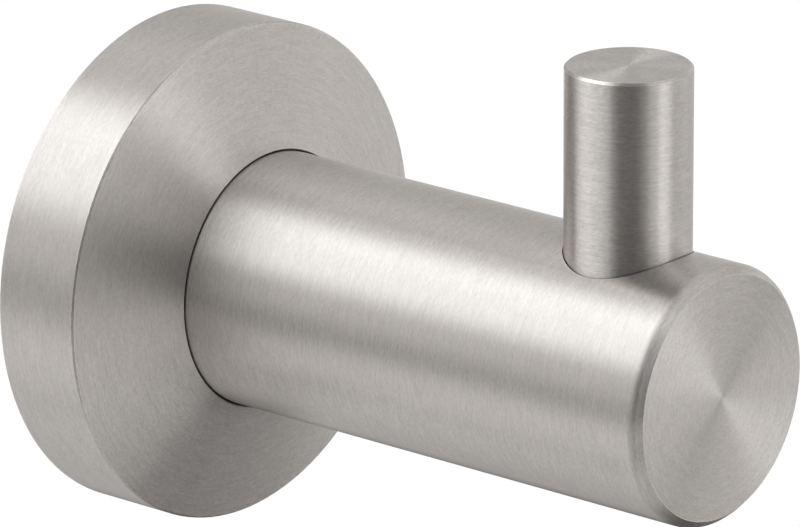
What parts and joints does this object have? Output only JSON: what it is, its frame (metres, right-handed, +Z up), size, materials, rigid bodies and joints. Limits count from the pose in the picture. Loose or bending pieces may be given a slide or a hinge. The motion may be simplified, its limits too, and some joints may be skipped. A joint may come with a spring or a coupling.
{
  "type": "wall hook",
  "caption": "Round wall hook in brushed steel: a turned rosette with a conical front carries a thick post, and an upright peg near its end keeps what hangs from sliding off.",
  "frame": {"origin": "centre of the rosette's back face, on the wall", "axes": "the post runs out from the wall along -Y, the peg points up along +Z, +X is to the side"},
  "size_m": [0.049, 0.0683, 0.0544],
  "materials": {
    "rosette_steel": "satin, brushed around the rim and turned in rings on the cone",
    "post_steel": "satin, brushed around the bar and turned in rings on the end face",
    "peg_steel": "satin, brushed around the bar",
    "plate_steel": "plain turned",
    "fastener_steel": "plain bright"
  },
  "bodies": {
    "root": {"rosette": "rosette_steel", "post": "post_steel", "peg": "peg_steel", "peg_stud": "fastener_steel", "post_screw": "fastener_steel", "lock_washer": "fastener_steel", "locating_pin": "fastener_steel", "wall_plate": "plate_steel", "grub_screw": "fastener_steel"}
  },
  "joints": []
}
